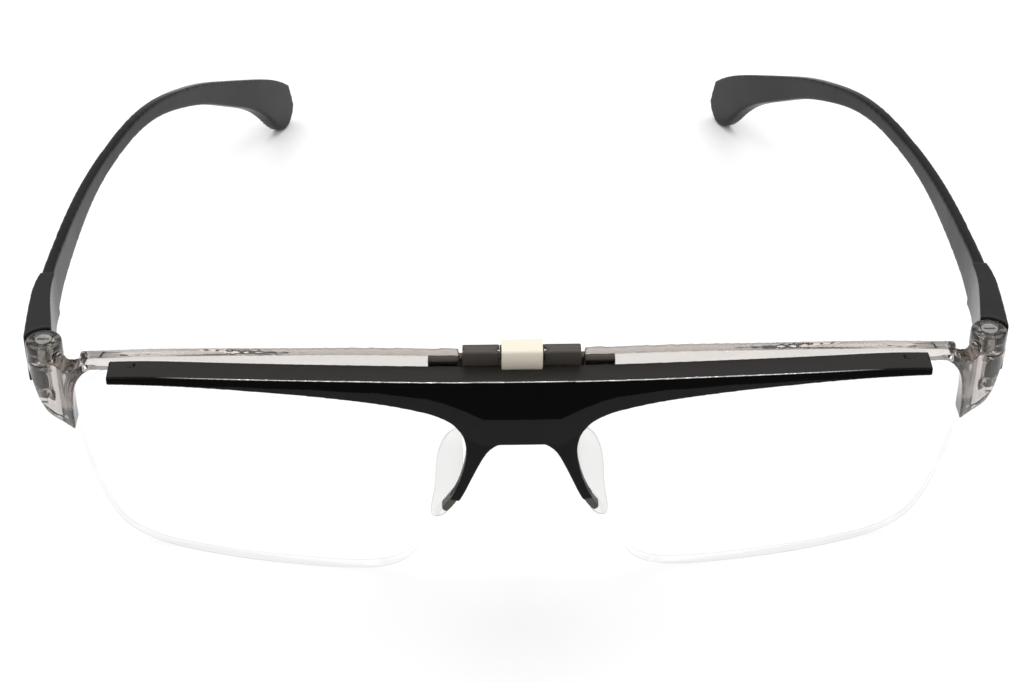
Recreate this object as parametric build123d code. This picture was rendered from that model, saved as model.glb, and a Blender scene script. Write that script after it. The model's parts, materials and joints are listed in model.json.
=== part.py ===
from build123d import *
from math import cos, radians, sin, sqrt, tan
import os

# Flip-up magnifying spectacles (dental loupes). Millimetres, +Z up, the wearer looks along -Y,
# so the wearer's left side is +X. Front parts are drawn upright in the "front frame" and then
# leaned by front_tilt; hinges and temples are drawn straight in the part's own frame.
# Depth in the front frame is given as a "layer": 0 is the wrap sphere, negative is further forward.

# ---------------------------------------------------------------- driving dimensions
lens_reach = 65.4        # centre line to the outer edge of a lens
lens_depth = 33.0        # brow level down to the lowest point of the lens outline
brow_level = 31.1        # height where the lens outline starts to stretch with lens_depth
temple_length = 129.0    # temple hinge to the end of the tip
wrap_radius = 200.0      # face-form curve of the whole front
wrap_height = 22.0       # height of the wrap sphere's centre
front_tilt = 9.0         # lean of the front, top edge forward
tilt_height = 42.5       # height of the line about which the front leans

# Layers of the front, measured from the wrap sphere
brow_front = -3.5
brow_back = 0.5
lens_back = 0.4
bar_front = 0.75
bar_back = 2.55
arm_front = 0.85
arm_back = 2.4

# Lenses
lens_thickness = 2.0     # at the optical centre
lens_front_radius = 150.0
optical_x = 34.0
optical_z = 18.0
lens_seat = 0.8          # how far the lens edge goes up into the brow bar
lens_gap = 0.05          # bond line round the lens seat
corner_gap = 0.9         # air between lens edge and frame corner

# Flip hinge
pin_y = 2.6
pin_z = 44.25
pin_radius = 0.5
pin_half_length = 8.2
running_gap = 0.04       # radial, pin to leaf barrel and screws to bushes
leaf_half_width = 2.87
leaf_front = 0.75
leaf_sheet = 0.65
leaf_barrel_radius = 1.85
leaf_bottom = 37.6
leaf_tail_half_width = 2.6
side_gap = 0.25          # leaf to block, filled by a friction washer
washer_radius = 1.1
washer_slack = 0.03
block_outer = 8.35
block_front = 1.8
block_top_radius = 0.8
block_corner = 1.1
block_corner_drop = 0.27
web_front = 2.0
web_back = 4.4
web_top = 41.7
web_bottom = 33.4
wing_end = 13.2
wing_top = 42.2
wing_bottom = 38.8
wing_sheet = 1.3
wing_gap = 0.03        # bar to wing

# Small screws
screw_radius = 0.5
leaf_screw_x = 1.6
leaf_screw_z = 39.5
leaf_screw_tip = -1.5     # how far forward the screw's point reaches in the brow bar
leaf_screw_head = 0.9
leaf_screw_head_height = 0.45
bridge_screw_x = 11.2
bridge_screw_z = 40.5
bridge_screw_head = 1.0
bridge_screw_head_height = 0.5

# Nose pads
pad_length = 20.6
pad_width = 5.6
pad_thickness = 1.2
pad_edge = 0.25
pad_centre = (11.0, 5.0, 16.6)
pad_across = (0.62, 0.785, 0.075)
pad_along = (-0.12, 0.0, 0.993)

# Temple hinge
hinge_x = 70.9
hinge_y = 21.4
barrel_radius = 2.75
barrel_top = 34.6
barrel_bottom = 31.2
foot_bottom = 25.0
foot_top = 27.0
foot_radius = 2.2
corner_radius = 3.1      # outside of the frame corner, round the hinge
pocket_radius = 2.35     # inside of the frame corner, round the temple knuckle
knuckle_radius = 2.2
knuckle_gap = 0.12       # above and below the temple knuckle
bush_radius = 1.35
screw_shank = 0.8
screw_head = 1.25
screw_head_height = 0.5
web_level = 33.1         # top of the web from bar to upper barrel

# Temples
housing_length = 18.4    # hinge to the step
housing_gap = 0.3        # housing end to the barrel wall
housing_bottom = 26.2
housing_top = 34.5
tongue_length = 6.0
tongue_thickness = 0.9
tongue_height = 5.0
tongue_gap = 0.05

# Brow bar details
slot_x = 56.6
slot_length = 2.4
slot_width = 0.7
slot_depth = 0.7

# ---------------------------------------------------------------- outlines
# Drawn for these two values; across() and down() stretch them to lens_reach and lens_depth.
drawn_reach = 65.4
drawn_depth = 33.0
bridge_half = 12.0

brow_top_line = [(0, 43.4), (10, 43.2), (24.4, 42.5), (38.6, 41.0), (46, 39.9), (55, 38.1), (59.2, 36.9)]
brow_low_line = [(59.5, 35.3), (53.6, 36.7), (46.1, 37.9), (38.9, 38.5), (31.6, 38.75), (24.6, 38.55),
                 (17.5, 37.7), (13.35, 36.65), (10.5, 35.2), (9.1, 33.5), (8.2, 31.2), (8.0, 28.6),
                 (8.4, 25.5), (9.1, 22.6), (10.55, 18.9)]
leg_inner_line = [(9.05, 18.6), (7.35, 23.0), (5.8, 27.1), (4.55, 29.4), (3.2, 30.5)]
lens_free_line = [(12.4, 13.5), (13.5, 10.4), (15.2, 6.4), (17.0, 3.2), (19.6, 0.9), (24.0, -0.4),
                  (35.0, -1.2), (43.0, -1.7), (51.0, -1.9), (56.5, -1.4), (60.3, 0.6), (62.6, 4.8),
                  (64.0, 10.0), (65.1, 17.0), (65.4, 23.0), (65.0, 27.5), (63.6, 31.2), (61.9, 33.2)]
bar_top_line = [(8.75, 44.1), (17.6, 43.8), (24.7, 43.3), (31.9, 42.4), (39.2, 41.3), (46.6, 39.9),
                (54.2, 38.1), (60.5, 36.2), (64.2, 35.0)]
bar_low_line = [(8.75, 38.9), (24.7, 38.1), (39.2, 36.7), (50.0, 35.3), (58.0, 34.2), (64.2, 32.4)]
arm_outer_line = [(8.3, 34.0), (7.9, 29.0), (7.8, 25.0), (8.0, 22.5), (8.6, 19.6), (9.8, 16.7), (11.5, 13.5)]
arm_inner_line = [(10.8, 12.4), (9.0, 15.7), (7.5, 19.6), (6.5, 22.5), (5.6, 25.8), (4.4, 29.5), (3.0, 33.6)]

# Nose pad: share of half its width and half its length
pad_line = [(-0.1, 1.0), (0.5, 0.68), (0.76, 0.1), (0.62, -0.5), (0.36, -0.97), (0.0, -0.9),
            (-0.6, -0.5), (-1.0, 0.05), (-0.78, 0.68)]

# Frame corner, in the part's own frame: front view of its lower edge (x, z) and plan of its face (x, y)
corner_low_line = [(66.5, 23.0), (68.2, 22.6), (69.8, 22.8), (71.1, 23.6), (72.0, 25.0), (72.6, 26.8),
                   (73.1, 28.7), (73.9, 31.2)]
corner_plan_line = [(56.0, 8.8), (60.0, 10.3), (63.3, 11.9), (66.4, 14.0), (68.6, 16.4)]
corner_wall = 2.6

# Temple: (distance behind the hinge, offset outwards from the hinge axis, thickness)
temple_plan = [(20.0, 3.2, 1.9), (31.0, 2.5, 1.8), (43.6, 1.2, 1.8), (55.0, -0.8, 1.8),
               (66.0, -3.4, 1.9), (78.0, -6.9, 2.0), (90.0, -10.8, 2.2), (102.0, -15.0, 2.4),
               (114.0, -19.6, 2.6), (127.0, -24.6, 2.6)]
housing_plan = [(0.0, 3.1, 4.2), (4.0, 3.4, 4.0), (10.0, 3.75, 3.3), (15.5, 3.75, 2.7), (18.4, 3.3, 2.3)]
# Temple side view: (distance behind the hinge, share of the way from housing_top down to the floor)
temple_top_line = [(18.6, 0.005), (40.0, 0.0), (60.0, 0.005), (70.0, 0.02), (78.0, 0.06), (86.0, 0.13),
                   (95.0, 0.23), (104.0, 0.355), (114.0, 0.50), (123.0, 0.645), (127.6, 0.745)]
temple_low_line = [(129.0, 0.88), (127.8, 0.97), (125.5, 1.0), (122.5, 0.955), (118.5, 0.83), (114.0, 0.706),
                   (104.0, 0.515), (95.0, 0.361), (86.0, 0.241), (78.0, 0.157), (70.0, 0.109),
                   (62.0, 0.095), (54.0, 0.098), (46.0, 0.114), (38.0, 0.141), (30.0, 0.170),
                   (18.6, 0.232)]
drawn_temple = 129.0


def across(x):
    """Stretch a sideways position beyond the bridge to suit lens_reach."""
    if x <= bridge_half:
        return x
    return bridge_half + (x - bridge_half) * (lens_reach - bridge_half) / (drawn_reach - bridge_half)


def down(z):
    """Stretch a height below the brow level to suit lens_depth."""
    if z >= brow_level:
        return z
    return brow_level - (brow_level - z) * lens_depth / drawn_depth


def fitted(points):
    return [(across(x), down(z)) for x, z in points]


def bridge_points(points):
    return [(x, down(z)) for x, z in points]


def flipped(points):
    """The other half of a symmetric outline, in the opposite order."""
    return [(-x, z) for x, z in reversed(points)]


def layer_y(x, z, layer):
    """Depth in the front frame of a layer at one place."""
    return wrap_radius - sqrt((wrap_radius - layer) ** 2 - x ** 2 - (z - wrap_height) ** 2)


def ball(layer):
    """Everything behind one layer of the wrapped front."""
    return Pos(0, wrap_radius, wrap_height) * Sphere(wrap_radius - layer)


def between(front, back):
    return ball(front) - ball(back)


def lean(shape):
    """Move a shape from the front frame to the part's own frame."""
    return Pos(0, 0, tilt_height) * Rot(front_tilt, 0, 0) * Pos(0, 0, -tilt_height) * shape


def lean_point(y, z):
    height = z - tilt_height
    turn = radians(front_tilt)
    return y * cos(turn) - height * sin(turn), tilt_height + y * sin(turn) + height * cos(turn)


def front_view(edges, front=-15.0, back=40.0):
    """A front-view outline, made into a prism along Y."""
    return Pos(0, front, 0) * extrude(make_face(edges), back - front, dir=(0, 1, 0))


def curve_xz(points):
    return Spline(*[(x, 0, z) for x, z in points])


def line_xz(start, end):
    return Line((start[0], 0, start[1]), (end[0], 0, end[1]))


def arc_xz(start, middle, end):
    return ThreePointArc(*[(x, 0, z) for x, z in (start, middle, end)])


def path_xz(points):
    return Polyline(*[(x, 0, z) for x, z in points])


def shifted(points, distance):
    """Points moved sideways to their own line, towards its right-hand side."""
    moved = []
    for i, (x, z) in enumerate(points):
        before = points[max(i - 1, 0)]
        after = points[min(i + 1, len(points) - 1)]
        along = Vector(after[0] - before[0], after[1] - before[1]).normalized()
        moved.append((x + along.Y * distance, z - along.X * distance))
    return moved


def rod(radius, start, end):
    """Round bar from one point to another."""
    start = Vector(*start)
    end = Vector(*end)
    plane = Plane(origin=start, z_dir=end - start)
    return extrude(plane * Circle(radius), (end - start).length)


def block(low, high):
    size = [b - a for a, b in zip(low, high)]
    middle = [(a + b) / 2 for a, b in zip(low, high)]
    return Pos(*middle) * Box(*size)


def other_side(shape):
    return mirror(shape, about=Plane.YZ)


# The frame corner and all that hangs on it move with the outer edge of the lens
corner_shift_x = lens_reach - drawn_reach
corner_shift_y = layer_y(lens_reach, brow_level, 0) - layer_y(drawn_reach, brow_level, 0)
axis_x = hinge_x + corner_shift_x
axis_y = hinge_y + corner_shift_y


# ---------------------------------------------------------------- lenses
def lens_outline(seat, grow):
    """Left lens in front view: seat is how far it goes under the brow, grow widens its free edge."""
    under_brow = shifted(fitted(brow_low_line), seat)
    free = shifted(fitted(lens_free_line), grow)
    top_outer = (across(59.6) + grow * 0.7, 34.75 + seat * 0.4 + grow * 0.5)
    hidden = curve_xz([top_outer] + under_brow[1:])
    visible = curve_xz([under_brow[-1]] + free + [top_outer])
    return hidden + visible


def lens_front_ball(grow):
    """Everything behind the front surface of the left lens."""
    centre = Vector(0, wrap_radius, wrap_height)
    height = down(optical_z)
    side = across(optical_x)
    back_vertex = Vector(side, layer_y(side, height, lens_back), height)
    outward = (back_vertex - centre).normalized()
    front_centre = back_vertex + outward * (lens_thickness - lens_front_radius)
    return Pos(front_centre) * Sphere(lens_front_radius + grow)


def make_lens():
    return (front_view(lens_outline(lens_seat, 0)) & lens_front_ball(0)) - ball(lens_back)


def lens_seat_cutter():
    return front_view(lens_outline(lens_seat + lens_gap, 0)) & lens_front_ball(lens_gap)


# ---------------------------------------------------------------- brow bar
def brow_outline():
    low = fitted(brow_low_line)
    inner = bridge_points(leg_inner_line)
    crown = [(across(x), z + 3.0) for x, z in brow_top_line]
    tip = (9.7, down(18.7))
    right = [line_xz(crown[-1], low[0]), curve_xz(low)]
    right.append(arc_xz(low[-1], tip, inner[0]))
    right.append(curve_xz(inner))
    edges = [curve_xz(flipped(crown[1:]) + crown)]
    edges += right
    edges.append(line_xz(inner[-1], (-inner[-1][0], inner[-1][1])))
    edges += [mirror(edge, about=Plane.YZ) for edge in reversed(right)]
    return edges


def brow_top_prism():
    """Everything under the top face, which is level once the front leans."""
    slope = tan(radians(front_tilt))
    start = -12.0
    top = []
    for x, z in brow_top_line:
        x = across(x)
        top.append((x, z + (layer_y(x, z, brow_front) - start) * slope))
    end_x = top[-1][0] + 6.0
    top.append((end_x, top[-1][1] - 1.8))
    line = flipped(top[1:]) + top
    sides = path_xz([line[-1], (end_x, 0.0), (-end_x, 0.0), line[0]])
    face = make_face([curve_xz(line), sides])
    direction = (0, cos(radians(front_tilt)), -sin(radians(front_tilt)))
    return Pos(0, start, 0) * extrude(face, 45.0, dir=direction)


def leaf_screw_rod(side, back):
    """Shank of a leaf screw, from its tip in the brow bar to a place behind it."""
    x = side * leaf_screw_x
    return rod(screw_radius, (x, leaf_screw_tip, leaf_screw_z), (x, back, leaf_screw_z))


def make_brow():
    brow = front_view(brow_outline()) & between(brow_front, brow_back)
    brow &= brow_top_prism()
    seat = lens_seat_cutter()
    brow -= seat
    brow -= other_side(seat)
    recess = block((-leaf_tail_half_width - lens_gap, leaf_front - lens_gap, leaf_bottom - lens_gap),
                   (leaf_tail_half_width + lens_gap, leaf_front + 5, pin_z))
    head = block((-leaf_half_width - lens_gap, leaf_front - lens_gap, pin_z - 1.9),
                 (leaf_half_width + lens_gap, leaf_front + 5, pin_z))
    brow -= recess + head
    for side in (-1, 1):
        brow -= leaf_screw_rod(side, 3)
        middle = across(slot_x)
        top = layer_y(middle, 37.5, brow_back) - 1.5
        cutter = Pos(side * middle, top, 37.9) * Box(slot_length, slot_width, slot_depth * 2)
        brow -= cutter
    return brow


# ---------------------------------------------------------------- flip hinge
def make_leaf():
    """Folded steel leaf: tail in the brow bar, visible cap, barrel on the pin."""
    top = pin_z + leaf_barrel_radius
    tail = block((-leaf_tail_half_width, leaf_front, leaf_bottom),
                 (leaf_tail_half_width, leaf_front + leaf_sheet, pin_z))
    cap = block((-leaf_half_width, leaf_front, pin_z - 1.85), (leaf_half_width, leaf_front + leaf_sheet, top))
    roof = block((-leaf_half_width, leaf_front, pin_z + 0.3), (leaf_half_width, pin_y, top))
    barrel = rod(leaf_barrel_radius, (-leaf_half_width, pin_y, pin_z), (leaf_half_width, pin_y, pin_z))
    leaf = tail + cap + roof + barrel
    front_edge = leaf.edges().filter_by(Axis.X).sort_by(Axis.Z)[-2:].sort_by(Axis.Y)[0]
    leaf = fillet(front_edge, 0.35)
    leaf -= rod(pin_radius + running_gap, (-5, pin_y, pin_z), (5, pin_y, pin_z))
    for side in (-1, 1):
        leaf -= leaf_screw_rod(side, 3)
    return leaf


def make_leaf_screws():
    screws = []
    back = leaf_front + leaf_sheet
    for side in (-1, 1):
        x = side * leaf_screw_x
        screw = leaf_screw_rod(side, back)
        head = rod(leaf_screw_head, (x, back, leaf_screw_z), (x, back + leaf_screw_head_height, leaf_screw_z))
        drive = Pos(x, back + leaf_screw_head_height, leaf_screw_z) * Box(1.3, 0.4, 0.3)
        screws.append(screw + head - drive)
    return Compound(children=screws)


def make_washers():
    rings = []
    for side in (-1, 1):
        inner = side * (leaf_half_width + washer_slack)
        outer = side * (leaf_half_width + side_gap - washer_slack)
        ring = rod(washer_radius, (inner, pin_y, pin_z), (outer, pin_y, pin_z))
        ring -= rod(pin_radius + running_gap, (inner - side, pin_y, pin_z), (outer + side, pin_y, pin_z))
        rings.append(ring)
    return Compound(children=rings)


def make_pin():
    pin = rod(pin_radius, (-pin_half_length, pin_y, pin_z), (pin_half_length, pin_y, pin_z))
    return chamfer(pin.edges().filter_by(GeomType.CIRCLE), 0.15)


# ---------------------------------------------------------------- nose bridge and pads
def hinge_block():
    """One of the two blocks that hold the pin, left side."""
    inner = leaf_half_width + side_gap
    top = pin_z + block_top_radius
    corner = block_corner
    front = path_xz([(inner, web_bottom), (inner, top - block_corner_drop), (inner + corner, top),
                     (block_outer - 0.4, top), (block_outer, top - 0.4), (block_outer, web_bottom),
                     (inner, web_bottom)])
    prism = front_view(front)
    rear = rod(block_top_radius, (0, pin_y, pin_z), (20, pin_y, pin_z))
    body = block((0, block_front, web_bottom), (20, pin_y, top))
    back = block((0, pin_y - 0.5, web_bottom), (20, web_back, pin_z))
    return prism & (rear + body + back)


def nose_arm():
    outer = bridge_points(arm_outer_line)
    inner = bridge_points(arm_inner_line)
    tip = (11.6, down(12.6))
    end = arc_xz(outer[-1], tip, inner[0])
    edges = [curve_xz(outer), end, curve_xz(inner), line_xz(inner[-1], outer[0])]
    return front_view(edges) & between(arm_front, arm_back)


def bridge_screw_line(side):
    """Front and back point of a bridge screw, where it lies in the bar and the wing."""
    x = side * bridge_screw_x
    middle = (layer_y(x, bridge_screw_z, bar_front) + layer_y(x, bridge_screw_z, bar_back)) / 2
    back = layer_y(x, bridge_screw_z, bar_back + wing_sheet)
    return (x, middle, bridge_screw_z), (x, back, bridge_screw_z)


def make_bridge():
    web = block((-block_outer, web_front, web_bottom), (block_outer, web_back, web_top))
    bridge = web
    for side in (hinge_block(), nose_arm()):
        bridge += side
        bridge += other_side(side)
    wing = front_view(path_xz([(6.0, wing_bottom), (wing_end, wing_bottom + 0.3), (wing_end, wing_top - 0.3),
                               (6.0, wing_top), (6.0, wing_bottom)]))
    wing &= between(bar_back + wing_gap, bar_back + wing_sheet)
    bridge += wing + other_side(wing)
    bridge -= rod(pin_radius, (-10, pin_y, pin_z), (10, pin_y, pin_z))
    for side in (-1, 1):
        start, end = bridge_screw_line(side)
        bridge -= rod(screw_radius, start, (end[0], end[1] + 1, end[2]))
        bridge -= rod(bridge_screw_head, end, (end[0], end[1] + 1, end[2]))
    return bridge


def make_bridge_screws():
    screws = []
    for side in (-1, 1):
        start, end = bridge_screw_line(side)
        seat = (end[0], end[1] + bridge_screw_head_height, end[2])
        screw = rod(screw_radius, start, end) + rod(bridge_screw_head, end, seat)
        screw -= Pos(seat) * Box(1.4, 0.4, 0.3)
        screws.append(screw)
    return Compound(children=screws)


def make_pad():
    """Left nose pad: a thin clear leaf that lies against its arm."""
    across_pad = Vector(*pad_across).normalized()
    normal = across_pad.cross(Vector(*pad_along)).normalized()
    centre = Vector(pad_centre[0], pad_centre[1], down(pad_centre[2]))
    plane = Plane(origin=centre, x_dir=across_pad, z_dir=normal)
    points = [(u * pad_width / 2, v * pad_length / 2) for u, v in pad_line]
    pad = extrude(plane * make_face(Spline(*points, periodic=True)), pad_thickness / 2, both=True)
    pad = fillet(pad.edges(), pad_edge)
    return pad - nose_arm()


# ---------------------------------------------------------------- frame halves
def corner_plan(offset):
    """Plan of the frame corner's face, moved inwards by offset, ending round the hinge."""
    points = []
    for x, y in shifted(corner_plan_line, -offset):
        points.append((x + corner_shift_x, y + corner_shift_y))
    return points


def corner_front():
    """Front view of the frame corner."""
    low = [(x + corner_shift_x, down(z)) for x, z in corner_low_line]
    rest = [low[-1], (low[-1][0] + 0.6, barrel_bottom), (low[-1][0] + 0.6, web_level),
            (67.2 + corner_shift_x, web_level), (64.6 + corner_shift_x, 35.2),
            (60.0 + corner_shift_x, 36.9), (55.0 + corner_shift_x, 36.9),
            (55.0 + corner_shift_x, low[0][1]), low[0]]
    return front_view([curve_xz(low), path_xz(rest)])


def corner_solid():
    """Wrapped plate from the bar's end round to the temple hinge."""
    face = corner_plan(0)
    inside = corner_plan(corner_wall)
    radius = corner_radius
    middle = (axis_x + radius * sin(radians(25)), axis_y - radius * cos(radians(25)))
    end = (axis_x + radius, axis_y + 0.3)
    back = (axis_x - 3.2, axis_y - 1.6)
    outer = Spline(*face, middle, end)
    closing = Polyline(end, (axis_x, axis_y + 0.3), (axis_x - 1.9, axis_y - 1.3), back)
    inner = Spline(back, *reversed(inside))
    plan = make_face([outer, closing, inner, Line(inside[0], face[0])])
    plate = extrude(plan, 60.0) & corner_front()
    return plate - lean(front_view(lens_outline(0, corner_gap)))


def screw_hole(radius, low, high):
    return rod(radius, (axis_x, axis_y, low), (axis_x, axis_y, high))


def make_frame():
    top = fitted(bar_top_line)
    low = fitted(bar_low_line)
    edges = [curve_xz(top), line_xz(top[-1], low[-1]), curve_xz(low), line_xz(low[0], top[0])]
    bar = lean(front_view(edges) & between(bar_front, bar_back))
    corner = corner_solid()
    barrel = screw_hole(barrel_radius, barrel_bottom, barrel_top)
    foot = screw_hole(foot_radius, foot_bottom, foot_top) & corner_front()
    pocket = screw_hole(pocket_radius, foot_top, barrel_bottom)
    above = screw_hole(corner_radius + 4, barrel_bottom, barrel_top + 5)
    rear = block((axis_x - 2, axis_y - 4, barrel_bottom), (axis_x + 6, axis_y + 4, barrel_top + 5))
    frame = bar + (corner - (above & rear)) + barrel + foot
    frame -= pocket
    ahead = block((0, -15, 0), (across(brow_low_line[0][0]) + corner_gap, 40, 60))
    ahead += front_view(lens_outline(lens_seat, corner_gap))
    frame -= lean(ahead - ball(bar_front))
    frame -= screw_hole(screw_shank, foot_bottom - 1, barrel_top)
    frame -= screw_hole(screw_head + 0.05, barrel_top - screw_head_height, barrel_top + 1)
    start, end = bridge_screw_line(1)
    frame -= lean(rod(screw_radius, start, end))
    return frame


def make_temple_screw():
    screw = screw_hole(screw_shank, foot_bottom, barrel_top - screw_head_height)
    screw += screw_hole(screw_head, barrel_top - screw_head_height, barrel_top - 0.05)
    return screw - Pos(axis_x, axis_y, barrel_top) * Box(1.8, 0.35, 0.6)


def make_bush():
    low = foot_top + knuckle_gap
    high = barrel_bottom - knuckle_gap
    return screw_hole(bush_radius, low, high) - screw_hole(screw_shank + running_gap, low - 1, high + 1)


# ---------------------------------------------------------------- temples
floor_z = None


def temple_height(share):
    return housing_top + (floor_z - housing_top) * share


def stretch(back):
    """Positions behind the housing follow temple_length."""
    if back <= housing_length:
        return back
    share = (back - housing_length) / (drawn_temple - housing_length)
    return housing_length + (temple_length - housing_length) * share


def band(plan):
    """Plan of a strip given by distance, outer offset and thickness, as a tall prism."""
    outer = [(axis_x + out, axis_y + stretch(back)) for back, out, thick in plan]
    inner = [(axis_x + out - thick, axis_y + stretch(back)) for back, out, thick in plan]
    ends = [Line(outer[-1], inner[-1]), Line(inner[0], outer[0])]
    face = make_face([Spline(*outer), Spline(*reversed(inner))] + ends)
    return Pos(0, 0, -10) * extrude(face, 60.0)


def side_view(edges):
    """A side-view outline in the YZ plane, made into a prism along X."""
    return extrude(make_face(edges), 100.0, dir=(1, 0, 0))


def make_housing():
    step = axis_y + housing_length
    outline = [(axis_y - 6, housing_bottom + 0.3), (axis_y - 6, barrel_top), (axis_y + 4, barrel_top),
               (step, housing_top), (step, housing_bottom + 0.4), (axis_y + 6, housing_bottom),
               (axis_y - 6, housing_bottom + 0.3)]
    profile = Polyline(*[(0, y, z) for y, z in outline])
    housing = band(housing_plan) & side_view([profile])
    housing -= screw_hole(barrel_radius + housing_gap, barrel_bottom - knuckle_gap, barrel_top + 5)
    housing -= screw_hole(foot_radius + housing_gap + 0.3, foot_top - 30, foot_top + knuckle_gap)
    wall = screw_hole(corner_radius + 0.25, 0, barrel_top + 5)
    wall &= block((axis_x - 6, axis_y - 6, 0), (axis_x + 6, axis_y + 0.55, 50))
    housing -= wall
    low = foot_top + knuckle_gap
    high = barrel_bottom - knuckle_gap
    knuckle = screw_hole(knuckle_radius, low, high)
    neck = block((axis_x - 1.0, axis_y, low), (axis_x + 1.9, axis_y + 4.5, high))
    housing += knuckle + neck
    housing -= screw_hole(bush_radius, low - 1, high + 1)
    housing -= make_tongue(tongue_gap)
    return housing


def make_tongue(grow):
    """Front tongue of the temple arm, bonded into the housing."""
    back, out, thick = housing_plan[-1]
    middle = axis_x + out - 1.25
    height = (housing_top + housing_bottom) / 2
    low = (middle - tongue_thickness / 2 - grow, axis_y + housing_length - tongue_length - grow,
           height - tongue_height / 2 - grow)
    high = (middle + tongue_thickness / 2 + grow, axis_y + housing_length + 1.0,
            height + tongue_height / 2 + grow)
    return block(low, high)


def make_arm():
    plan = [(housing_length + tongue_gap, 3.25, 1.95)] + temple_plan
    plan.append((drawn_temple + 2.0, -26.1, 2.6))
    top = [(0, axis_y + stretch(back), temple_height(share)) for back, share in temple_top_line]
    low = [(0, axis_y + stretch(back), temple_height(share)) for back, share in temple_low_line]
    front = axis_y + housing_length + tongue_gap
    top[0] = (0, front, top[0][2])
    low[-1] = (0, front, low[-1][2])
    end = Line(top[-1], low[0])
    arm = band(plan) & side_view([Spline(*top), end, Spline(*low), Line(low[-1], top[0])])
    return arm + make_tongue(0)


# ---------------------------------------------------------------- assembly
lens_left = lean(make_lens())
floor_z = lens_left.bounding_box().min.Z

pieces = {
    "lens_left": lens_left,
    "lens_right": other_side(lens_left),
    "brow_bar": lean(make_brow()),
    "hinge_leaf": lean(make_leaf()),
    "leaf_screws": lean(make_leaf_screws()),
    "friction_washers": lean(make_washers()),
    "flip_pin": lean(make_pin()),
    "nose_bridge": lean(make_bridge()),
    "bridge_screws": lean(make_bridge_screws()),
}
left_pieces = {
    "nose_pad": lean(make_pad()),
    "frame": make_frame(),
    "temple_screw": make_temple_screw(),
    "temple_bush": make_bush(),
    "temple_housing": make_housing(),
    "temple_arm": make_arm(),
}
for name, shape in left_pieces.items():
    pieces[name + "_left"] = shape
    pieces[name + "_right"] = other_side(shape)

# The origin is under the middle of the whole part, on the surface that it stands on
boxes = [shape.bounding_box() for shape in pieces.values()]
front_edge = min(box.min.Y for box in boxes)
rear_edge = max(box.max.Y for box in boxes)
lowest = min(box.min.Z for box in boxes)
home = Pos(0, -(front_edge + rear_edge) / 2, -lowest)

os.makedirs("parts", exist_ok=True)
for name, shape in pieces.items():
    export_step(home * shape, "parts/" + name + ".step")

pin_place = lean_point(pin_y, pin_z)
shift_y = -(front_edge + rear_edge) / 2
print("flip pin at y %.3f z %.3f" % (pin_place[0] + shift_y, pin_place[1] - lowest))
print("temple hinge at x %.3f y %.3f" % (axis_x, axis_y + shift_y))
print("origin shift y %.3f z %.3f" % (shift_y, -lowest))
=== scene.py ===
import bpy
import bmesh
import json
import math
import numpy as np
from mathutils import Matrix, Vector


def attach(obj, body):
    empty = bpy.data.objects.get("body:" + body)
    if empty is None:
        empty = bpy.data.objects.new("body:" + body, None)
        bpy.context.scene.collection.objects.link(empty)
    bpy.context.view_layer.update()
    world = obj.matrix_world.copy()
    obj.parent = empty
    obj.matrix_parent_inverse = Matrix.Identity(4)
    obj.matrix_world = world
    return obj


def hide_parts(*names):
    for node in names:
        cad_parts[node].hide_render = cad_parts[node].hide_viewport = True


# Looks of the flip-up magnifying spectacles. Metres, in the CAD's own frame: +X to the wearer's
# left, +Y back along the temples, +Z up. Shapes that need rounded edges are dense copies of the
# CAD pieces; small metal pieces keep their CAD mesh and get a material.

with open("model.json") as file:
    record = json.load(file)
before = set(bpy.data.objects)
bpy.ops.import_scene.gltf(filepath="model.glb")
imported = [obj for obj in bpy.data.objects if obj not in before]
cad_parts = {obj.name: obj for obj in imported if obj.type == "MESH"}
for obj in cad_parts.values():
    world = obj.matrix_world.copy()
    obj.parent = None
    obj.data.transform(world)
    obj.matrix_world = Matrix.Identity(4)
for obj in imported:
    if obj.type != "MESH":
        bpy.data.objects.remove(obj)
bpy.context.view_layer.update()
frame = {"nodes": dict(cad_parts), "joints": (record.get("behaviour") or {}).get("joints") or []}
nodes = frame["nodes"]

MM = 0.001
joints = {joint["name"]: joint for joint in frame["joints"]}
PIN = Vector(joints["flip_up"]["pos_m"])

# The front leans forward at its top by this angle, and is wrapped round a sphere whose centre is
# given from the flip pin
FRONT_TILT = math.radians(9.0)
WRAP_RADIUS = 200.0 * MM
WRAP_CENTRE = np.array([0.0, 197.4, -22.25]) * MM
BROW_FRONT = -3.5 * MM      # depth of the brow's front; negative is in front of the sphere

# Crease across the front of the brow: (distance from the middle, height above the pin), in mm
CREASE = [(0.0, -7.85), (5.5, -7.85), (8.0, -6.35), (11.0, -4.95), (13.3, -4.25), (20.0, -3.6),
          (30.0, -3.9), (40.0, -4.9), (50.0, -6.6), (60.0, -8.6)]
BAND_SLOPE = 0.16           # how far the lower band leans back for each unit below the crease
BAND_REACH = 6.0 * MM       # height over which it leans back
SKIN_DEPTH = 2.0 * MM       # the lean is gone this deep behind the brow's front
SKIN_FADE = 1.6 * MM        # and fades over this depth

# Faces of the brow by the direction of their normal in the front frame
# TOP_UP picks the top face, whose colour is lightened as painted light
TOP_UP = 0.93
# EDGE_UP and EDGE_FORWARD pick the corner faces that get the painted highlight
EDGE_UP = 0.25
EDGE_FORWARD = -0.2
# BAND_FORWARD picks the lower band, whose colour is lightened as painted light
BAND_FORWARD = -0.5

WALL_LIMIT = 0.6            # a lens face turned further than this from the sphere is edge wall
RIM_WIDTH = 0.11 * MM       # painted shade: a dark line along each corner of a lens's edge wall

# Fineness of the rounded copies: (edge of a remesh cell, rounds of smoothing)
BROW_GRAIN = (0.12 * MM, 22)
FRAME_GRAIN = (0.17 * MM, 42)
PAD_GRAIN = (0.2 * MM, 4)
ARM_GRAIN = (0.2 * MM, 36)
HOUSING_GRAIN = (0.16 * MM, 14)
BRIDGE_GRAIN = (0.13 * MM, 14)
WELD = 0.002 * MM           # corners closer than this are joined before remeshing


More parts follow.
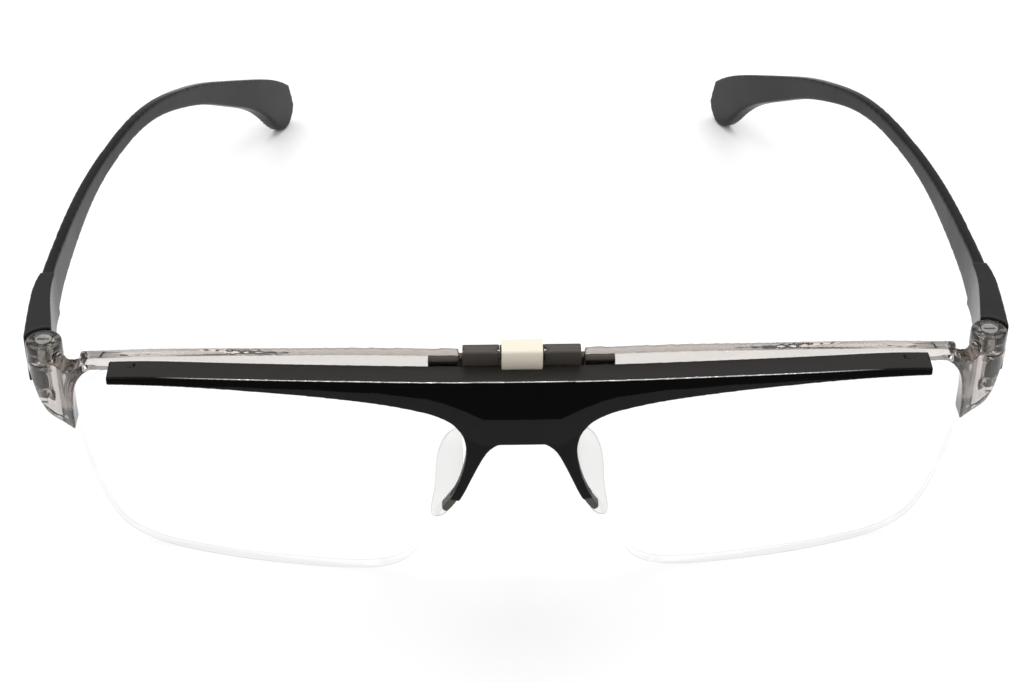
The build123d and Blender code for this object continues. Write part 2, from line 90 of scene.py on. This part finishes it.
# ---------------------------------------------------------------- camera
def make_camera():
    """The camera stands in front of and above the spectacles."""
    elevation = math.radians(34.97)
    yaw = math.radians(-1.36)
    roll = math.radians(0.13)
    distance = 0.300
    target = Vector((-1.45 * MM, -73.978 * MM, 48.592 * MM))
    away = Vector((math.sin(yaw) * math.cos(elevation), -math.cos(yaw) * math.cos(elevation),
                   math.sin(elevation)))
    data = bpy.data.cameras.new("camera")
    data.sensor_width = 36.0
    data.lens = 76.36
    data.clip_start = 0.01
    data.clip_end = 20.0
    camera = bpy.data.objects.new("camera", data)
    bpy.context.scene.collection.objects.link(camera)
    look = (-away).to_track_quat("-Z", "Y").to_matrix().to_4x4()
    place = Matrix.Translation(target + away * distance)
    camera.matrix_world = place @ look @ Matrix.Rotation(roll, 4, "Z")
    bpy.context.scene.camera = camera


make_camera()


# ---------------------------------------------------------------- materials
def new_material(name):
    material = bpy.data.materials.new(name)
    material.use_nodes = True
    tree = material.node_tree
    shader = tree.nodes["Principled BSDF"]
    return material, tree, shader


def noise(tree, scale, detail=4.0, roughness=0.55):
    """Noise in the object's own coordinates, which are the CAD's."""
    place = tree.nodes.new("ShaderNodeTexCoord")
    texture = tree.nodes.new("ShaderNodeTexNoise")
    texture.inputs["Scale"].default_value = scale
    texture.inputs["Detail"].default_value = detail
    texture.inputs["Roughness"].default_value = roughness
    tree.links.new(place.outputs["Object"], texture.inputs["Vector"])
    return texture.outputs["Fac"]


def spread(tree, source, low, high, start=0.3, end=0.7):
    """A value that goes from low to high while the source goes from start to end."""
    remap = tree.nodes.new("ShaderNodeMapRange")
    remap.inputs["From Min"].default_value = start
    remap.inputs["From Max"].default_value = end
    remap.inputs["To Min"].default_value = low
    remap.inputs["To Max"].default_value = high
    tree.links.new(source, remap.inputs["Value"])
    return remap.outputs["Result"]


def tint(tree, source, dark, light):
    """A colour that varies between two with the source."""
    mix = tree.nodes.new("ShaderNodeMix")
    mix.data_type = "RGBA"
    mix.inputs["A"].default_value = (*dark, 1.0)
    mix.inputs["B"].default_value = (*light, 1.0)
    tree.links.new(source, mix.inputs["Factor"])
    return mix.outputs["Result"]


def product(tree, first, second):
    node = tree.nodes.new("ShaderNodeMath")
    node.operation = "MULTIPLY"
    tree.links.new(first, node.inputs[0])
    tree.links.new(second, node.inputs[1])
    return node.outputs["Value"]


def rim(tree, start, end):
    """0 where the surface faces the eye, 1 where it turns away; the mask for painted shade along outlines.
    """
    weight = tree.nodes.new("ShaderNodeLayerWeight")
    weight.inputs["Blend"].default_value = 0.5
    return spread(tree, weight.outputs["Facing"], 0.0, 1.0, start, end)


def bump(tree, shader, source, depth, strength=0.3):
    node = tree.nodes.new("ShaderNodeBump")
    node.inputs["Strength"].default_value = strength
    node.inputs["Distance"].default_value = depth
    tree.links.new(source, node.inputs["Height"])
    tree.links.new(node.outputs["Normal"], shader.inputs["Normal"])


def plastic(name, dark, light, rough, grain_scale, grain_depth, coat=0.0, specular=0.5):
    """Moulded plastic: slight colour and gloss variation and a fine grain."""
    material, tree, shader = new_material(name)
    cloud = noise(tree, 90.0)
    tree.links.new(tint(tree, cloud, dark, light), shader.inputs["Base Color"])
    tree.links.new(spread(tree, cloud, rough[0], rough[1]), shader.inputs["Roughness"])
    shader.inputs["Coat Weight"].default_value = coat
    shader.inputs["Coat Roughness"].default_value = 0.04
    shader.inputs["Specular IOR Level"].default_value = specular
    bump(tree, shader, noise(tree, grain_scale, detail=2.0), grain_depth)
    return material


def metal(name, dark, light, rough, stretch, metallic=1.0):
    """Brushed or polished metal, with its scratches along X where stretched."""
    material, tree, shader = new_material(name)
    place = tree.nodes.new("ShaderNodeTexCoord")
    mapping = tree.nodes.new("ShaderNodeMapping")
    mapping.inputs["Scale"].default_value = stretch
    texture = tree.nodes.new("ShaderNodeTexNoise")
    texture.inputs["Scale"].default_value = 900.0
    texture.inputs["Detail"].default_value = 5.0
    tree.links.new(place.outputs["Object"], mapping.inputs["Vector"])
    tree.links.new(mapping.outputs["Vector"], texture.inputs["Vector"])
    fac = texture.outputs["Fac"]
    tree.links.new(tint(tree, fac, dark, light), shader.inputs["Base Color"])
    tree.links.new(spread(tree, fac, rough[0], rough[1]), shader.inputs["Roughness"])
    shader.inputs["Metallic"].default_value = metallic
    bump(tree, shader, fac, 0.01 * MM, 0.15)
    return material


def painted_highlight_edge(name, dark, light):
    """Gloss corner of the brow with a painted highlight: a bright metallic band set by the direction of the
    surface, not by any lamp, bright along its middle and fading towards the ends.
    """
    material, tree, shader = new_material(name)
    place = tree.nodes.new("ShaderNodeTexCoord")
    normal = tree.nodes.new("ShaderNodeSeparateXYZ")
    spot = tree.nodes.new("ShaderNodeSeparateXYZ")
    side = tree.nodes.new("ShaderNodeMath")
    side.operation = "ABSOLUTE"
    tree.links.new(place.outputs["Normal"], normal.inputs["Vector"])
    tree.links.new(place.outputs["Object"], spot.inputs["Vector"])
    tree.links.new(spot.outputs["X"], side.inputs[0])
    from_front = spread(tree, normal.outputs["Z"], 0.0, 1.0, 0.30, 0.42)
    from_top = spread(tree, normal.outputs["Z"], 1.0, 0.0, 0.72, 0.84)
    middle = spread(tree, side.outputs["Value"], 1.0, 0.0, 40.0 * MM, 52.0 * MM)
    painted_highlight = product(tree, product(tree, from_front, from_top), middle)
    cloud = spread(tree, noise(tree, 90.0), 0.9, 1.0)
    painted_highlight = product(tree, painted_highlight, cloud)
    tree.links.new(tint(tree, painted_highlight, dark, light), shader.inputs["Base Color"])
    tree.links.new(painted_highlight, shader.inputs["Metallic"])
    tree.links.new(spread(tree, noise(tree, 60.0), 0.06, 0.10), shader.inputs["Roughness"])
    shader.inputs["Specular IOR Level"].default_value = 0.1
    return material


def clear(name, colour, edge, ior, rough, smoke, density):
    """Clear plastic, darker the further light goes through it, with painted shade that darkens it towards
    the edge colour where it turns away from the eye.
    """
    material, tree, shader = new_material(name)
    cloud = noise(tree, 60.0)
    shader.inputs["Transmission Weight"].default_value = 1.0
    shader.inputs["IOR"].default_value = ior
    painted_rim_shade = product(tree, rim(tree, 0.36, 0.78), spread(tree, cloud, 0.9, 1.0))
    tree.links.new(tint(tree, painted_rim_shade, colour, edge), shader.inputs["Base Color"])
    tree.links.new(spread(tree, cloud, rough, rough + 0.02), shader.inputs["Roughness"])
    absorb = tree.nodes.new("ShaderNodeVolumeAbsorption")
    absorb.inputs["Color"].default_value = (*smoke, 1.0)
    absorb.inputs["Density"].default_value = density
    tree.links.new(absorb.outputs["Volume"], tree.nodes["Material Output"].inputs["Volume"])
    return material


def film(name, through, edge, gloss, rough, cover):
    """A thin clear wall: mostly what is behind it, with a share of gloss; what shows through is darkened by
    painted shade where the wall turns away from the eye.
    """
    material, tree, shader = new_material(name)
    cloud = noise(tree, 70.0)
    darker = tuple(channel * 0.97 for channel in gloss)
    tree.links.new(tint(tree, cloud, darker, gloss), shader.inputs["Base Color"])
    tree.links.new(spread(tree, cloud, rough, rough + 0.03), shader.inputs["Roughness"])
    glass = tree.nodes.new("ShaderNodeBsdfTransparent")
    # painted shade: darker towards the edge colour where the wall turns away
    tree.links.new(tint(tree, rim(tree, 0.55, 0.95), through, edge), glass.inputs["Color"])
    mix = tree.nodes.new("ShaderNodeMixShader")
    tree.links.new(spread(tree, cloud, cover * 0.9, cover * 1.1), mix.inputs["Fac"])
    tree.links.new(glass.outputs["BSDF"], mix.inputs[1])
    tree.links.new(shader.outputs["BSDF"], mix.inputs[2])
    tree.links.new(mix.outputs["Shader"], tree.nodes["Material Output"].inputs["Surface"])
    return material


BLACK_GLOSS = plastic("brow gloss black", (0.0008, 0.0008, 0.0008), (0.0016, 0.0016, 0.0015), (0.05, 0.09),
                      1200.0, 0.002 * MM, specular=0.02)
# The bright line along the brow's front-top corner is a painted highlight, there from every side
EDGE_PAINTED_HIGHLIGHT = painted_highlight_edge("brow edge painted highlight", (0.006, 0.006, 0.006), (0.95, 0.95, 0.95))
# The lower band below the crease: a satin finish of the same black, its colour lightened as painted light
# for the band's turn towards the light
SATIN_BAND_PAINTED_LIGHT = plastic("brow satin black, painted light", (0.004, 0.0044, 0.0043), (0.007, 0.0072, 0.0068), (0.30, 0.40),
                     2500.0, 0.01 * MM, specular=0.06)
# The brow's top face: a rougher finish of the same black, its colour lightened as painted light for the
# light falling on it from above
TOP_BLACK_PAINTED_LIGHT = plastic("brow top black, painted light", (0.014, 0.0122, 0.011), (0.022, 0.0195, 0.018), (0.34, 0.46),
                    2500.0, 0.01 * MM, specular=0.12)
BRIDGE_BLACK = plastic("bridge matte black", (0.058, 0.052, 0.045), (0.080, 0.072, 0.063), (0.42, 0.55),
                       2200.0, 0.02 * MM, specular=0.22)
TEMPLE_BLACK = plastic("temple satin black", (0.006, 0.006, 0.006), (0.010, 0.0097, 0.0097), (0.26, 0.36),
                     1800.0, 0.02 * MM, specular=0.12)
HOUSING_BLACK = plastic("housing satin black", (0.009, 0.0083, 0.0083), (0.014, 0.013, 0.013), (0.24, 0.34),
                        1800.0, 0.015 * MM, specular=0.18)
WASHER_BLACK = plastic("washer nylon", (0.02, 0.02, 0.02), (0.03, 0.03, 0.03), (0.4, 0.5),
                       2500.0, 0.01 * MM, specular=0.2)
BUSH_BLACK = plastic("bush black", (0.03, 0.03, 0.03), (0.05, 0.05, 0.05), (0.4, 0.5), 2500.0, 0.01 * MM)
LEAF_STEEL = metal("leaf satin steel", (0.74, 0.68, 0.56), (0.80, 0.74, 0.62), (0.55, 0.65),
                   (0.2, 1.0, 1.0), 0.0)
SCREW_STEEL = metal("screw steel", (0.30, 0.29, 0.28), (0.50, 0.49, 0.47), (0.20, 0.32), (1.0, 1.0, 1.0))
# The frame's dark brown outlines are painted shade, not a colour of the plastic
SMOKE = clear("frame smoke clear", (0.97, 0.96, 0.95), (0.06, 0.045, 0.036), 1.50, 0.0,
              (0.40, 0.33, 0.28), 230.0)
# The lens and pad films carry painted shade where they turn away from the eye
LENS_FACE = film("lens face", (0.995, 0.996, 0.996), (0.93, 0.93, 0.93), (0.9, 0.9, 0.9), 0.02, 0.02)
# The greyer lens edge wall and its dark corner lines are painted shade
LENS_EDGE_PAINTED_SHADE = film("lens edge painted shade", (0.975, 0.975, 0.975), (0.95, 0.95, 0.95), (0.7, 0.7, 0.7), 0.2, 0.03)
LENS_RIM_PAINTED_SHADE = film("lens rim painted shade", (0.80, 0.80, 0.80), (0.70, 0.70, 0.70), (0.5, 0.5, 0.5), 0.2, 0.08)
PAD_CLEAR = film("pad silicone", (0.93, 0.93, 0.925), (0.60, 0.60, 0.59), (0.65, 0.65, 0.64), 0.35, 0.06)


# ---------------------------------------------------------------- shapes
def front_frame(co):
    """CAD coordinates to the upright front frame with its origin at the flip pin."""
    moved = co - np.array(PIN)
    turn = -FRONT_TILT
    y = moved[:, 1] * math.cos(turn) - moved[:, 2] * math.sin(turn)
    z = moved[:, 1] * math.sin(turn) + moved[:, 2] * math.cos(turn)
    return np.stack([moved[:, 0], y, z], axis=1)


def vertices(mesh):
    co = np.zeros(len(mesh.vertices) * 3, np.float32)
    mesh.vertices.foreach_get("co", co)
    return co.reshape(-1, 3).astype(float)


def set_vertices(mesh, co):
    mesh.vertices.foreach_set("co", co.astype(np.float32).ravel())
    mesh.update()


def piece_copy(node, name):
    """A copy of a CAD piece's mesh, with its corners joined."""
    mesh = nodes[node].data.copy()
    mesh.name = name
    obj = bpy.data.objects.new(name, mesh)
    bpy.context.scene.collection.objects.link(obj)
    work = bmesh.new()
    work.from_mesh(mesh)
    bmesh.ops.remove_doubles(work, verts=work.verts, dist=WELD)
    work.to_mesh(mesh)
    work.free()
    mesh.materials.clear()
    return obj


def apply_modifiers(obj):
    graph = bpy.context.evaluated_depsgraph_get()
    done = bpy.data.meshes.new_from_object(obj.evaluated_get(graph), depsgraph=graph)
    obj.modifiers.clear()
    old = obj.data
    obj.data = done
    bpy.data.meshes.remove(old)


def rounded(node, name, grain, shape=None):
    """A dense copy of a CAD piece whose edges are rounded off by smoothing."""
    voxel, rounds = grain
    obj = piece_copy(node, name)
    remesh = obj.modifiers.new("remesh", "REMESH")
    remesh.mode = "VOXEL"
    remesh.voxel_size = voxel
    apply_modifiers(obj)
    if shape is not None:
        set_vertices(obj.data, shape(vertices(obj.data)))
    smooth = obj.modifiers.new("smooth", "SMOOTH")
    smooth.factor = 0.5
    smooth.iterations = rounds
    apply_modifiers(obj)
    for polygon in obj.data.polygons:
        polygon.use_smooth = True
    return obj


def face_places(mesh):
    """Centres and normals of all faces, in the front frame."""
    count = len(mesh.polygons)
    centres = np.zeros(count * 3, np.float32)
    normals = np.zeros(count * 3, np.float32)
    mesh.polygons.foreach_get("center", centres)
    mesh.polygons.foreach_get("normal", normals)
    centres = centres.reshape(-1, 3).astype(float)
    normals = normals.reshape(-1, 3).astype(float)
    return front_frame(centres), front_frame(normals + np.array(PIN))


def dress(obj, body, node, slot, *materials):
    for material in materials:
        obj.data.materials.append(material)
    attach(obj, body)
    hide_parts(node)
    return obj


def moulded(node, suffix, grain, body, slot, material):
    """A rounded copy of a one-material piece, in place of its CAD node."""
    return dress(rounded(node, node + suffix, grain), body, node, slot, material)


def repaint(node, material):
    obj = nodes[node]
    for spot in obj.material_slots:
        spot.material = material


# ---------------------------------------------------------------- brow bar
def crease_height(x):
    sides, heights = zip(*CREASE)
    return np.interp(np.abs(x) / MM, sides, heights) * MM


def brow_shape(co):
    """The lower band of the brow leans back below the crease."""
    place = front_frame(co)
    below = np.clip(crease_height(place[:, 0]) - place[:, 2], 0.0, BAND_REACH)
    near_front = np.clip((BROW_FRONT + SKIN_DEPTH - wrap_depth(place)) / SKIN_FADE, 0.0, 1.0)
    push = BAND_SLOPE * below * near_front
    out = co.copy()
    out[:, 1] += push * math.cos(FRONT_TILT)
    out[:, 2] += push * math.sin(FRONT_TILT)
    return out


def wrap_depth(place):
    """Depth behind the front's wrap sphere, 0 on the sphere itself."""
    return WRAP_RADIUS - np.linalg.norm(place - WRAP_CENTRE, axis=1)


def make_brow():
    brow = rounded("brow_bar", "brow_bar_shaped", BROW_GRAIN, brow_shape)
    dress(brow, "flip_front", "brow_bar", "brow", BLACK_GLOSS, SATIN_BAND_PAINTED_LIGHT, TOP_BLACK_PAINTED_LIGHT, EDGE_PAINTED_HIGHLIGHT)
    mesh = brow.data
    place, facing = face_places(mesh)
    # the top face gets a copy of the black lightened as painted light
    top = facing[:, 2] > TOP_UP
    # the lower band gets a copy of the black lightened as painted light
    lower = (place[:, 2] < crease_height(place[:, 0])) & (facing[:, 1] < BAND_FORWARD)
    # faces on the corner between top and front get the painted highlight
    edge = (facing[:, 2] > EDGE_UP) & ~top & (facing[:, 1] < EDGE_FORWARD) & ~lower
    kinds = np.where(top, 2, np.where(edge, 3, lower))
    mesh.polygons.foreach_set("material_index", kinds.astype(np.int32))
    mesh.update()


# ---------------------------------------------------------------- lenses
def make_lens(hand):
    """Clear faces, and an edge wall greyed with a fine dark rim along both of its corners, both painted
    shade.
    """
    node = "lens_" + hand
    lens = piece_copy(node, node + "_clear")
    dress(lens, "flip_front", node, "lens", LENS_FACE, LENS_EDGE_PAINTED_SHADE, LENS_RIM_PAINTED_SHADE)
    mesh = lens.data
    place, facing = face_places(mesh)
    out = place - WRAP_CENTRE
    out /= np.linalg.norm(out, axis=1)[:, None]
    along = np.abs((out * facing).sum(axis=1))
    mesh.polygons.foreach_set("material_index", (along < WALL_LIMIT).astype(np.int32))
    mesh.polygons.foreach_set("use_smooth", np.ones(len(along), bool))
    work = bmesh.new()
    work.from_mesh(mesh)
    wall = [face for face in work.faces if face.material_index == 1]
    made = bmesh.ops.inset_region(work, faces=wall, thickness=RIM_WIDTH,
                                  use_boundary=True, use_even_offset=True)
    for face in made["faces"]:
        face.material_index = 2
    work.to_mesh(mesh)
    work.free()


# ---------------------------------------------------------------- build
make_brow()
for hand in ("left", "right"):
    make_lens(hand)
    body = hand + "_temple"
    moulded("frame_" + hand, "_moulded", FRAME_GRAIN, "frame", "frame", SMOKE)
    pad = moulded("nose_pad_" + hand, "_soft", PAD_GRAIN, "frame", "pad", PAD_CLEAR)
    moulded("temple_arm_" + hand, "_moulded", ARM_GRAIN, body, "temple", TEMPLE_BLACK)
    moulded("temple_housing_" + hand, "_moulded", HOUSING_GRAIN, body, "housing", HOUSING_BLACK)
    repaint("temple_screw_" + hand, SCREW_STEEL)
    repaint("temple_bush_" + hand, BUSH_BLACK)

moulded("nose_bridge", "_moulded", BRIDGE_GRAIN, "frame", "bridge", BRIDGE_BLACK)
repaint("hinge_leaf", LEAF_STEEL)
repaint("leaf_screws", SCREW_STEEL)
repaint("bridge_screws", SCREW_STEEL)
repaint("flip_pin", SCREW_STEEL)
repaint("friction_washers", WASHER_BLACK)


# ---------------------------------------------------------------- studio
def make_floor():
    mesh = bpy.data.meshes.new("floor")
    reach = 3.0
    mesh.from_pydata([(-reach, -reach, 0), (reach, -reach, 0), (reach, reach, 0), (-reach, reach, 0)], [],
                     [(0, 1, 2, 3)])
    floor = bpy.data.objects.new("floor", mesh)
    bpy.context.scene.collection.objects.link(floor)
    material, tree, shader = new_material("floor paper")
    cloud = noise(tree, 8.0)
    tree.links.new(tint(tree, cloud, (0.93, 0.93, 0.93), (0.95, 0.95, 0.95)), shader.inputs["Base Color"])
    shader.inputs["Roughness"].default_value = 0.9
    shader.inputs["Specular IOR Level"].default_value = 0.1
    mesh.materials.append(material)


def softbox(name, place, aim, size, power):
    data = bpy.data.lights.new(name, "AREA")
    data.shape = "RECTANGLE"
    data.size = size[0]
    data.size_y = size[1]
    data.energy = power
    light = bpy.data.objects.new(name, data)
    bpy.context.scene.collection.objects.link(light)
    direction = Vector(aim) - Vector(place)
    light.matrix_world = Matrix.Translation(place) @ direction.to_track_quat("-Z", "Y").to_matrix().to_4x4()


def make_world():
    world = bpy.data.worlds.new("studio")
    world.use_nodes = True
    back = world.node_tree.nodes["Background"]
    back.inputs["Color"].default_value = (1.0, 1.0, 1.0, 1.0)
    back.inputs["Strength"].default_value = 0.68
    bpy.context.scene.world = world


make_floor()
make_world()
softbox("top light", (0.0, 0.15, 0.75), (0.0, 0.0, 0.0), (1.1, 0.8), 4.6)
softbox("edge light", (0.0, -0.45, 0.52), (0.0, -0.07, 0.04), (0.9, 0.006), 0.5)
bpy.context.scene.view_settings.view_transform = "Standard"
bpy.context.scene.view_settings.look = "None"
